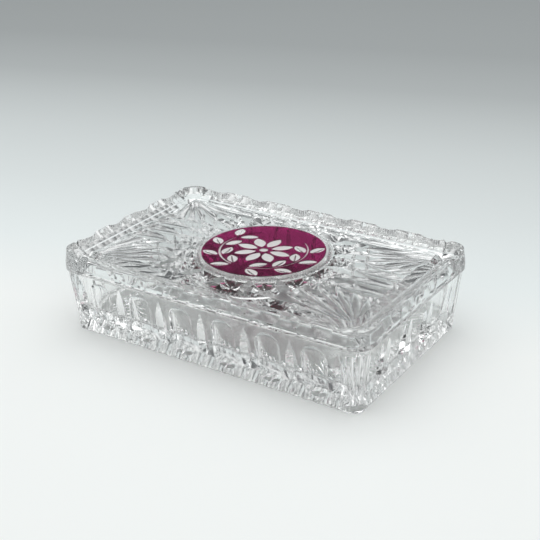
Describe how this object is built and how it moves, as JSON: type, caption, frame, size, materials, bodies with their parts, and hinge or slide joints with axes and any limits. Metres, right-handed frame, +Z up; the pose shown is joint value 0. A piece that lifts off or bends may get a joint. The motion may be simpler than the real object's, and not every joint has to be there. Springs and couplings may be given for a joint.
{
  "type": "casket box",
  "caption": "Low oblong cut-crystal casket: a thick-floored tray with leaning fluted walls, and a lift-off lid with corner fans and a round ruby medallion.",
  "frame": {"origin": "middle of the base's underside, on the surface that the box stands on", "axes": "+X along the long side, +Y towards the back, +Z up through the lid"},
  "size_m": [0.178, 0.114, 0.045],
  "materials": {
    "clear_crystal": "fire-polished clear lead crystal",
    "ruby_stain": "polished ruby stain"
  },
  "bodies": {
    "base_body": {"base": "clear_crystal"},
    "lid_body": {"lid": "clear_crystal", "ruby_layer": "ruby_stain"}
  },
  "joints": [
    {"name": "lid_lift", "type": "slide", "parent": "base_body", "child": "lid_body", "axis": [0, 0, 1], "range_m": [0, 0.06]}
  ]
}
